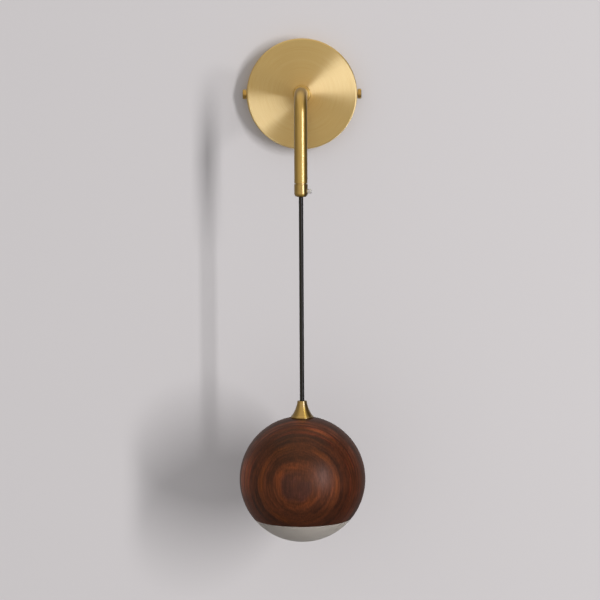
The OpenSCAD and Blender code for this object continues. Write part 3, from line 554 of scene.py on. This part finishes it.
def fit(bm, name, material, slot, body, *nodes):
    """Make and finish a piece, and let it ride on a body in place of CAD nodes."""
    piece = piece_from(bm, name)
    piece.data.materials.append(material)
    piece.modifiers.new("flat_faces_stay_flat", "WEIGHTED_NORMAL").keep_sharp = True
    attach(piece, body)
    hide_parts(*nodes)


def sheet(name, half_width, place):
    """A flat square of the stage."""
    bm = bmesh.new()
    bmesh.ops.create_grid(bm, x_segments=1, y_segments=1, size=half_width, matrix=place)
    return piece_from(bm, name)


class Lathe:
    """An outline of radius and height that is turned round the Z axis."""

    def __init__(self, radius, height):
        self.bm = bmesh.new()
        self.distance = self.bm.verts.layers.float.new("distance")
        self.first = self.last = self.bm.verts.new((radius, 0, height))
        self.rounds = []

    def line(self, radius, height, rounding=0.0):
        """Go straight to the next corner, which may be rounded."""
        made = bmesh.ops.extrude_vert_indiv(self.bm, verts=[self.last])
        self.last = made["verts"][0]
        self.last.co = (radius, 0, height)
        if rounding:
            self.rounds.append((self.last, rounding))

    def arc(self, radius, height, angle):
        """Go round a centre; a positive angle climbs on the outside."""
        made = bmesh.ops.spin(
            self.bm, geom=[self.last], cent=(radius, 0, height), axis=(0, -1, 0),
            angle=angle, steps=ARC_STEPS)
        self.last = only(made["geom_last"], BMVert)[0]

    def turn(self, place):
        """Close the outline, turn it and put it in its place."""
        bm = self.bm
        if self.first.co.x > 0 or self.last.co.x > 0:
            bm.edges.new((self.last, self.first))
        for vert, rounding in self.rounds:
            bmesh.ops.bevel(
                bm, geom=[vert], offset=rounding, offset_type="OFFSET",
                segments=ROUND_STEPS, profile=0.5, affect="VERTICES", material=-1)
        self.measure()
        bmesh.ops.spin(
            bm, geom=bm.verts[:] + bm.edges[:], cent=(0, 0, 0), axis=(0, 0, 1),
            angle=math.tau, steps=TURN_STEPS, use_merge=True)
        bmesh.ops.remove_doubles(bm, verts=bm.verts[:], dist=MERGED)
        bmesh.ops.recalc_face_normals(bm, faces=bm.faces[:])
        unwrap(bm, lambda v: v[self.distance])
        bm.verts.layers.float.remove(self.distance)
        bmesh.ops.transform(bm, matrix=place, verts=bm.verts[:])
        return bm

    def measure(self):
        """Note each point's distance along the outline from its first corner."""
        vert, gone, total = self.first, None, 0.0
        while True:
            vert[self.distance] = total
            ahead = [e for e in vert.link_edges if e is not gone]
            if not ahead:
                return
            gone = ahead[0]
            total += gone.calc_length()
            vert = gone.other_vert(vert)
            if vert is self.first:
                return


# Operators

class SCONCE_OT_stage(bpy.types.Operator):
    """Set up the camera, the lights, the wall and the floor"""

    bl_idname = "sconce.stage"
    bl_label = "Stage"

    def execute(self, context):
        scene = context.scene
        scene.view_settings.view_transform = "Standard"
        eye = bpy.data.cameras.new("camera")
        eye.lens, eye.sensor_width = 138.0, 36.0
        camera = bpy.data.objects.new("camera", eye)
        camera.location = (0.03, -2.292, 0.0)
        # Turned towards the arm, tipped down towards the ball and held a little askew
        camera.rotation_euler = (
            Matrix.Rotation(math.radians(0.83), 3, "Z")
            @ Matrix.Rotation(math.radians(90 - 5.12), 3, "X")
            @ Matrix.Rotation(math.radians(-0.31), 3, "Z")
        ).to_euler()
        scene.collection.objects.link(camera)
        scene.camera = camera

        # One lamp gives the light and shade, and a wider one only the gleam on brass and oil
        aim = Vector((0.0, -0.06, -0.22))
        for name, rise, away, width, height, energy, tint in (
            ("shade_lamp", 0.12, 5.0, 0.40, 2.9, 178.0, (1.0, 1.0, 1.0)),
            ("gleam_lamp", 0.13, 4.0, 0.60, 2.1, 60.0, (0.79, 0.95, 1.53)),
        ):
            strip = bpy.data.lights.new(name, "AREA")
            strip.shape, strip.size, strip.size_y = "RECTANGLE", width, height
            strip.energy, strip.color = energy, tint
            lamp = bpy.data.objects.new(name, strip)
            way = Vector((0.613, -0.79, rise)).normalized()
            lamp.location = aim + away * way
            lamp.rotation_euler = way.to_track_quat("Z", "Y").to_euler()
            lamp.visible_glossy = name == "gleam_lamp"
            lamp.visible_diffuse = name == "shade_lamp"
            scene.collection.objects.link(lamp)

        world = bpy.data.worlds.new("studio")
        scene.world = world
        world.use_nodes = True
        tree = world.node_tree
        tree.nodes.clear()
        way = add(tree, "TexCoord")
        split = add(tree, "SeparateXYZ", None, {"Vector": way.outputs["Generated"]})
        # Brightest in front of the wall, and dimmer from below, more so for brass and oil
        levels = ((0.23, 0.3), (0.62, 0.42), (0.8, 0.62), (0.93, 0.8))
        ahead = add(tree, "MapRange", None, {
            "Value": split.outputs["Y"], "From Min": 0.3, "From Max": -1.0})
        front = add(tree, "ValToRGB", {"stops": [(at, (v,) * 3) for at, v in levels]}, {
            "Fac": ahead.outputs["Result"]})
        ray = add(tree, "LightPath")
        least = add(tree, "MapRange", None, {
            "Value": ray.outputs["Is Glossy Ray"], "To Min": 0.8, "To Max": 0.4})
        below = add(tree, "MapRange", None, {
            "Value": split.outputs["Z"], "From Min": -0.7, "From Max": 0.1,
            "To Min": least.outputs["Result"]})
        sky = add(tree, "Background", None, {
            "Color": front.outputs["Color"], "Strength": below.outputs["Result"]})
        add(tree, "OutputWorld", None, {"Surface": sky.outputs["Background"]})

        # Cards that only brass and oil see: dark on the right, grey on the left, pale above
        upright = Matrix.Rotation(math.pi / 2, 4, "Y") @ Matrix.Diagonal((1.0, 0.48, 1, 1))
        for name, place, level in (
            ("card_right", Matrix.Translation((0.8, 0.1, -0.2)) @ upright, 0.06),
            ("card_left", Matrix.Translation((-0.8, 0.1, -0.2)) @ upright, 0.25),
            ("card_above", Matrix.Translation((0, -0.45, 0.8)) @ Matrix.Diagonal(
                (0.8, 0.75, 1, 1)), 0.8),
        ):
            flag = sheet(name, 1.0, place)
            material, tree = start(name + "_felt")
            felt = add(tree, "Emission", None, {"Color": (level, level, level, 1.0)})
            add(tree, "OutputMaterial", None, {"Surface": felt.outputs["Emission"]})
            flag.data.materials.append(material)
            flag.visible_camera = flag.visible_diffuse = flag.visible_shadow = False
            flag.visible_transmission = False

        # The wall lies a hair behind the canopy's rim
        colours = scene.sconce_colours
        for name, shade, place in (
            ("wall", colours.wall, Matrix.Translation((0, 0.0003, 0)) @ FROM_WALL),
            ("floor", colours.floor, Matrix.Translation((0, -1.5, -1.5))),
        ):
            plane = sheet(name, 4.0, place)
            plane.data.materials.append(pale_paint(name + "_matt_emulsion", shade))
            # The wall throws its light back on the object
            plane.visible_diffuse = name == "wall"
            plane.visible_shadow = plane.visible_glossy = False
        # Only the sky lights the floor, so that no pool of light lies on it
        unlit = bpy.data.collections.new("lit_by_sky_only")
        unlit.objects.link(scene.objects["floor"])
        unlit.collection_objects[0].light_linking.link_state = "EXCLUDE"
        scene.objects["shade_lamp"].light_linking.receiver_collection = unlit
        return {"FINISHED"}


class SCONCE_OT_cord(bpy.types.Operator):
    """Hang the two lengths of free cord, which bend between the arm and the ball"""

    bl_idname = "sconce.cord"
    bl_label = "Cord"

    def execute(self, context):
        sizes = context.scene.sconce_sizes
        braid = braided_cord()
        pivots = {joint["name"]: joint["pos_m"] for joint in frame["joints"]}
        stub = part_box("cord_inner")[0].z
        # Each joint is in the middle of its bend, and the upper bend is short because the
        # mouth of the ferrule is so near
        side = pivots["cord_swing_side"][2]
        fore = pivots["cord_swing_fore"][2]
        split = fore + sizes.cord_bend / 2
        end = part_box("cord_cone")[1].z
        for name, node, parent, child, top, bottom, inside, middle, bend in (
            ("cord_braid_upper", "cord_upper", "wall_unit", "cord_link",
             stub, split, 0.0, side, sizes.cord_bend / 2),
            ("cord_braid_lower", "cord_lower", "cord_link", "cord_drop",
             split, end, sizes.cord_tail, fore, sizes.cord_bend),
        ):
            bm = self.sleeve(sizes.cord_diameter / 2, top, bottom - inside)
            piece = piece_from(bm, name)
            piece.data.materials.append(braid)
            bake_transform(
                piece, parent, child, start=(0, CORD_Y, middle + bend / 2),
                end=(0, CORD_Y, middle - bend / 2))
            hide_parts(node)
        return {"FINISHED"}

    def sleeve(self, radius, top, bottom):
        """A closed round tube along the cord's axis, in short rings so that it can bend."""
        bm = bmesh.new()
        bmesh.ops.create_circle(
            bm, radius=radius, segments=CORD_STEPS, matrix=Matrix.Translation((0, 0, top)))
        made = bmesh.ops.extrude_edge_only(bm, edges=bm.edges[:])["geom"]
        bmesh.ops.translate(bm, verts=only(made, BMVert), vec=(0, 0, bottom - top))
        tall = [e for e in bm.edges if abs(e.verts[0].co.z - e.verts[1].co.z) > radius]
        bmesh.ops.subdivide_edges(
            bm, edges=tall, cuts=round((top - bottom) / CORD_RING), use_grid_fill=True)
        bmesh.ops.holes_fill(bm, edges=[e for e in bm.edges if e.is_boundary])
        bmesh.ops.recalc_face_normals(bm, faces=bm.faces[:])
        unwrap(bm, lambda v: top - v.co.z)
        bmesh.ops.transform(bm, matrix=ON_CORD, verts=bm.verts[:])
        return bm


class SCONCE_OT_canopy(bpy.types.Operator):
    """Spin the canopy, a brass cup that is open to the wall"""

    bl_idname = "sconce.canopy"
    bl_label = "Canopy"

    def execute(self, context):
        sizes = context.scene.sconce_sizes
        outside = sizes.canopy_diameter / 2
        inside = outside - sizes.canopy_wall
        front = sizes.canopy_depth
        floor = front - sizes.canopy_wall
        hole = sizes.tube_diameter / 2 - sizes.tube_wall
        shape = Lathe(hole, front)
        shape.line(outside, front, sizes.canopy_edge)
        shape.line(outside, 0)
        shape.line(inside, 0)
        shape.line(inside, floor, sizes.canopy_edge - sizes.canopy_wall)
        shape.line(hole, floor)
        # Rings of 0.1 mm grit are too fine to show, so they are drawn 0.5 mm apart
        colours = context.scene.sconce_colours
        finish = brass(
            "brass_spun_ring_brushed", (colours.brass, colours.brass_shade), 0.0005, 0.46,
            1.0, 0.08, twist=-0.045)
        fit(shape.turn(FROM_WALL), "canopy_cup", finish, "brass", "wall_unit", "canopy")
        return {"FINISHED"}


class SCONCE_OT_side_screws(bpy.types.Operator):
    """Make the two knurled thumb screws at the canopy's sides"""

    bl_idname = "sconce.side_screws"
    bl_label = "Side Screws"

    def execute(self, context):
        sizes = context.scene.sconce_sizes
        finish = polished("brass_turned_knurled", 0.0004, 0.24, 0.2)
        for side, word in ((1, "right"), (-1, "left")):
            low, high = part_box("canopy_screw_" + word)
            tip, end = sorted((low.x, high.x), key=abs)
            seat = abs(end) - sizes.knob_length
            bm = self.knob((high.z - low.z) / 2, sizes, abs(tip) - seat)
            place = Matrix.Translation((side * seat, (low.y + high.y) / 2, 0))
            place = place @ Matrix.Rotation(side * math.pi / 2, 4, "Y")
            bmesh.ops.transform(bm, matrix=place, verts=bm.verts[:])
            fit(bm, "thumb_screw_" + word, finish, "brass", word + "_screw",
                "canopy_screw_" + word)
        return {"FINISHED"}

    def knob(self, radius, sizes, tip):
        """A knurled head that stands up from z = 0, with a plain thread below it."""
        bm = bmesh.new()
        rod = sizes.side_thread / 2
        bmesh.ops.create_circle(
            bm, cap_ends=True, radius=rod, segments=KNURL_STEPS * sizes.knurl_count,
            matrix=Matrix.Translation((0, 0, tip)))
        face = self.grow(bm, bm.faces[:][0], -tip, 1.0)
        face = self.grow(bm, face, 0.0, radius / rod)
        groove = 1 - sizes.knurl_depth / radius
        bmesh.ops.scale(bm, verts=face.verts[:][::KNURL_STEPS], vec=(groove, groove, 1))
        edge = sizes.knob_rounding
        face = self.grow(bm, face, sizes.knob_length - edge, 1.0)
        wide, high = radius, 0.0
        for i in range(1, ROUND_STEPS + 1):
            angle = i / ROUND_STEPS * math.pi / 2
            wider, higher = radius - edge * (1 - math.cos(angle)), edge * math.sin(angle)
            face = self.grow(bm, face, higher - high, wider / wide)
            wide, high = wider, higher
        bmesh.ops.recalc_face_normals(bm, faces=bm.faces[:])
        unwrap(bm, lambda v: v.co.z - v.co.xy.length)
        return bm

    def grow(self, bm, face, rise, share):
        """Extrude a face upwards and scale it, and return the new face."""
        made = bmesh.ops.extrude_face_region(bm, geom=[face, *face.edges])["geom"]
        face = only(made, BMFace)[0]
        bmesh.ops.translate(bm, verts=face.verts[:], vec=(0, 0, rise))
        bmesh.ops.scale(bm, verts=face.verts[:], vec=(share, share, 1))
        return face


class SCONCE_OT_arm(bpy.types.Operator):
    """Make the collar, the bent tube and the ferrule at its end"""

    bl_idname = "sconce.arm"
    bl_label = "Arm"

    def execute(self, context):
        sizes = context.scene.sconce_sizes
        turned = polished("brass_turned_satin", 0.0005, 0.36, 0.8)
        drawn = polished("brass_tube_drawn_satin", 0.0009, 0.4, 0.0)

        low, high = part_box("arm_collar")
        shape = Lathe(sizes.tube_diameter / 2, -high.y)
        shape.line(high.x, -high.y)
        shape.line(high.x, -low.y, sizes.collar_edge)
        shape.line(sizes.tube_diameter / 2, -low.y)
        fit(shape.turn(FROM_WALL), "collar_ring", turned, "brass", "wall_unit", "arm_collar")

        fit(self.tube(sizes), "arm_bent_tube", drawn, "brass", "wall_unit", "arm_tube")

        low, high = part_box("arm_ferrule")
        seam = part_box("arm_tube")[0].z
        spigot = sizes.tube_diameter / 2 - sizes.tube_wall
        shape = Lathe(sizes.bore / 2, high.z)
        shape.line(spigot, high.z)
        # The gap under the tube goes in to the spigot, so the seam is dark
        shape.line(spigot, seam - sizes.seam)
        shape.line(high.x, seam - sizes.seam, sizes.seam / 6)
        shape.line(high.x, low.z, sizes.ferrule_edge)
        shape.line(sizes.bore / 2, low.z)
        fit(shape.turn(ON_CORD), "ferrule_mouth", turned, "brass", "wall_unit", "arm_ferrule")
        return {"FINISHED"}

    def tube(self, sizes):
        """A tube that goes straight out, bends down through 90 degrees and drops."""
        low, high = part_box("arm_tube")
        bend = Vector((0, CORD_Y + sizes.bend_radius, -sizes.bend_radius))
        bm = bmesh.new()
        bmesh.ops.create_circle(
            bm, radius=sizes.tube_diameter / 2, segments=TUBE_STEPS,
            matrix=Matrix.Translation((0, high.y, 0)) @ FROM_WALL)
        turn = bm.verts.layers.float.new("turn")
        for vert in bm.verts:
            vert[turn] = math.atan2(vert.co.x, vert.co.z) / math.tau
        made = bmesh.ops.extrude_edge_only(bm, edges=bm.edges[:])["geom"]
        ends = only(made, BMVert)
        bmesh.ops.translate(bm, verts=ends, vec=(0, bend.y - high.y, 0))
        ring = ends + [e for e in only(made, BMEdge) if all(v in ends for v in e.verts)]
        made = bmesh.ops.spin(
            bm, geom=ring, cent=bend, axis=(1, 0, 0), angle=math.pi / 2, steps=BEND_STEPS)
        ring = only(made["geom_last"], BMEdge)
        made = bmesh.ops.extrude_edge_only(bm, edges=ring)["geom"]
        bmesh.ops.translate(bm, verts=only(made, BMVert), vec=(0, 0, low.z - bend.z))
        bmesh.ops.recalc_face_normals(bm, faces=bm.faces[:])
        bmesh.ops.solidify(bm, geom=bm.faces[:], thickness=sizes.tube_wall)

        layer = bm.loops.layers.uv.new("turned")
        for face in bm.faces:
            base = face.loops[0].vert[turn]
            for loop in face.loops:
                offset = loop.vert.co - bend
                angle = min(max(math.atan2(-offset.y, offset.z), 0.0), math.pi / 2)
                along = angle * sizes.bend_radius
                along -= max(offset.y, 0.0) + min(offset.z, 0.0)
                around = base + math.remainder(loop.vert[turn] - base, 1.0)
                loop[layer].uv = (around * math.pi * sizes.tube_diameter, along)
        bm.verts.layers.float.remove(turn)
        return bm


class SCONCE_OT_cone(bpy.types.Operator):
    """Turn the flared brass cap that sits on the ball"""

    bl_idname = "sconce.cone"
    bl_label = "Cone"

    def execute(self, context):
        sizes = context.scene.sconce_sizes
        low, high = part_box("cord_cone")
        bead = sizes.cone_bead / 2
        foot = Vector((high.x - bead, low.z + sizes.cone_bead))
        top = Vector((sizes.cone_top / 2, high.z))
        chord = top - foot
        reach = math.sqrt(sizes.cone_flare ** 2 - (chord.length / 2) ** 2)
        centre = (top + foot) / 2 + reach * Vector((chord.y, -chord.x)).normalized()
        sweep = 2 * math.asin(chord.length / 2 / sizes.cone_flare)
        shape = Lathe(sizes.bore / 2, low.z)
        shape.line(foot.x, low.z)
        shape.arc(foot.x, low.z + bead, math.pi)
        shape.arc(centre.x, centre.y, -sweep)
        shape.line(sizes.bore / 2, high.z, sizes.cone_rounding)
        finish = polished("brass_turned_bright", 0.0005, 0.42, 0.9)
        fit(shape.turn(ON_CORD), "cone_cap", finish, "brass", "ball", "cord_cone")
        return {"FINISHED"}


class SCONCE_OT_ball(bpy.types.Operator):
    """Turn the walnut ball with its seat, its hole and its bored cavity"""

    bl_idname = "sconce.ball"
    bl_label = "Ball"

    def execute(self, context):
        sizes = context.scene.sconce_sizes
        low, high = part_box("ball_shell")
        hole = sizes.ball_bore / 2
        seat = sizes.seat_diameter / 2
        rim = math.sqrt(BALL_R ** 2 - (BALL_Z - low.z) ** 2)
        sweep = math.atan2(high.z - BALL_Z, seat) - math.atan2(low.z - BALL_Z, rim)
        cavity = rim - sizes.rim_edge
        ceiling = low.z + sizes.cavity_depth
        shape = Lathe(hole, high.z)
        shape.line(seat, high.z)
        shape.arc(0, BALL_Z, -sweep)
        shape.rounds.append((shape.last, sizes.rim_rounding))
        shape.line(cavity, low.z, sizes.rim_rounding)
        shape.line(cavity, ceiling)
        shape.line(hole, ceiling)
        fit(shape.turn(ON_CORD), "ball_walnut", walnut(), "walnut", "ball", "ball_shell")
        return {"FINISHED"}


class SCONCE_OT_diffuser(bpy.types.Operator):
    """Mould the opal cap with its skirt and bayonet lugs"""

    bl_idname = "sconce.diffuser"
    bl_label = "Diffuser"

    def execute(self, context):
        sizes = context.scene.sconce_sizes
        low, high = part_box("diffuser")
        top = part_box("ball_shell")[0].z - sizes.opal_gap
        edge = math.sqrt(BALL_R ** 2 - (BALL_Z - top) ** 2)
        inner = BALL_R - sizes.opal_wall
        under = top - sizes.opal_wall
        under_edge = math.sqrt(inner ** 2 - (BALL_Z - under) ** 2)
        skirt = edge - sizes.opal_ledge
        shape = Lathe(0.0, low.z)
        shape.arc(0, BALL_Z, math.pi / 2 - math.atan2(BALL_Z - top, edge))
        shape.rounds.append((shape.last, sizes.opal_rounding))
        shape.line(skirt, top)
        shape.line(skirt, high.z - sizes.lug_drop - sizes.lug_height)
        shape.line(skirt, high.z - sizes.lug_drop)
        shape.line(skirt, high.z)
        shape.line(skirt - sizes.skirt_wall, high.z)
        shape.line(skirt - sizes.skirt_wall, under)
        shape.line(under_edge, under)
        shape.arc(0, BALL_Z, math.atan2(BALL_Z - under, under_edge) - math.pi / 2)
        bm = shape.turn(Matrix())
        for middle in LUG_PLACES:
            self.lug(bm, middle, skirt, high.z - sizes.lug_drop, sizes)
        bmesh.ops.transform(bm, matrix=ON_CORD, verts=bm.verts[:])
        fit(bm, "opal_cap", opal_acrylic(), "opal", "opal_cap", "diffuser")
        return {"FINISHED"}

    def lug(self, bm, middle, radius, top, sizes):
        """Draw a bayonet lug out of the skirt's outer wall."""
        faces = []
        for face in bm.faces:
            centre = face.calc_center_median()
            off = math.remainder(math.atan2(centre.y, centre.x) - middle, math.tau)
            if (abs(centre.xy.length - radius) < ON_WALL and abs(off) < sizes.lug_angle / 2
                    and top - sizes.lug_height < centre.z < top):
                faces.append(face)
        edges = list({edge for face in faces for edge in face.edges})
        made = bmesh.ops.extrude_face_region(bm, geom=faces + edges)["geom"]
        out = 1 + sizes.lug_reach / radius
        bmesh.ops.scale(bm, verts=only(made, BMVert), vec=(out, out, 1))


class SCONCE_OT_fittings(bpy.types.Operator):
    """Give the small and hidden CAD pieces their real finishes"""

    bl_idname = "sconce.fittings"
    bl_label = "Fittings"

    def execute(self, context):
        colours = context.scene.sconce_colours
        # Slot, then name, colour, grain, metal, roughness, relief and stretch
        finishes = {slot: grained(*look) for slot, *look in (
            ("steel", "steel_turned_bright_zinc", colours.steel, 0.0008, 1.0, 0.3, 0.05),
            ("zinc_steel", "steel_strip_zinc_plated", colours.zinc, 0.006, 1.0, 0.36, 0.04),
            ("white_plastic", "polyamide_moulded_matt", colours.plastic,
             0.0006, 0.0, 0.5, 0.15),
            ("aluminium", "aluminium_spun_matt", colours.aluminium,
             0.0008, 1.0, 0.42, 0.06, (0.1, 0.1, 1.0)),
            ("board", "solder_mask_white_satin", colours.solder_mask, 0.002, 0.0, 0.4, 0.05),
            ("led", "phosphor_gel_cast", colours.phosphor, 0.0005, 0.0, 0.25, 0.05),
            ("foam", "foam_closed_cell", colours.foam, 0.0007, 0.0, 0.85, 0.4),
            ("lead_sheath", "pvc_sheath_extruded", colours.lead_sheath,
             0.0012, 0.0, 0.42, 0.05),
            ("brass", "brass_turned_plain", colours.polish, 0.0008, 1.0, 0.3, 0.05),
            ("cord", "rayon_braid_hidden", colours.cord, 0.0006, 0.0, 0.65, 0.3),
        )}
        finishes["nylon"] = nylon()
        slots = {part["node"]: part["material_slot"] for part in frame["record"]["subparts"]}
        for name, node in frame["nodes"].items():
            if not node.hide_render:
                node.data.materials.clear()
                node.data.materials.append(finishes[slots[name]])
        return {"FINISHED"}


class SCONCE_PT_panel(bpy.types.Panel):
    """Lists the steps that build the sconce"""

    bl_idname = "SCONCE_PT_panel"
    bl_label = "Wall Sconce"
    bl_space_type = "VIEW_3D"
    bl_region_type = "UI"
    bl_category = "Sconce"

    def draw(self, context):
        for step in STEPS:
            self.layout.operator(step.bl_idname)


STEPS = (
    SCONCE_OT_stage, SCONCE_OT_cord, SCONCE_OT_canopy, SCONCE_OT_side_screws, SCONCE_OT_arm,
    SCONCE_OT_cone, SCONCE_OT_ball, SCONCE_OT_diffuser, SCONCE_OT_fittings,
)
CLASSES = (SconceSizes, SconceColours, *STEPS, SCONCE_PT_panel)


def register():
    for kind in CLASSES:
        bpy.utils.register_class(kind)
    bpy.types.Scene.sconce_sizes = bpy.props.PointerProperty(type=SconceSizes)
    bpy.types.Scene.sconce_colours = bpy.props.PointerProperty(type=SconceColours)


def unregister():
    del bpy.types.Scene.sconce_colours
    del bpy.types.Scene.sconce_sizes
    for kind in reversed(CLASSES):
        bpy.utils.unregister_class(kind)


def main():
    register()
    for step in STEPS:
        getattr(bpy.ops.sconce, step.bl_idname.split(".")[1])()


if __name__ == "__main__":
    main()
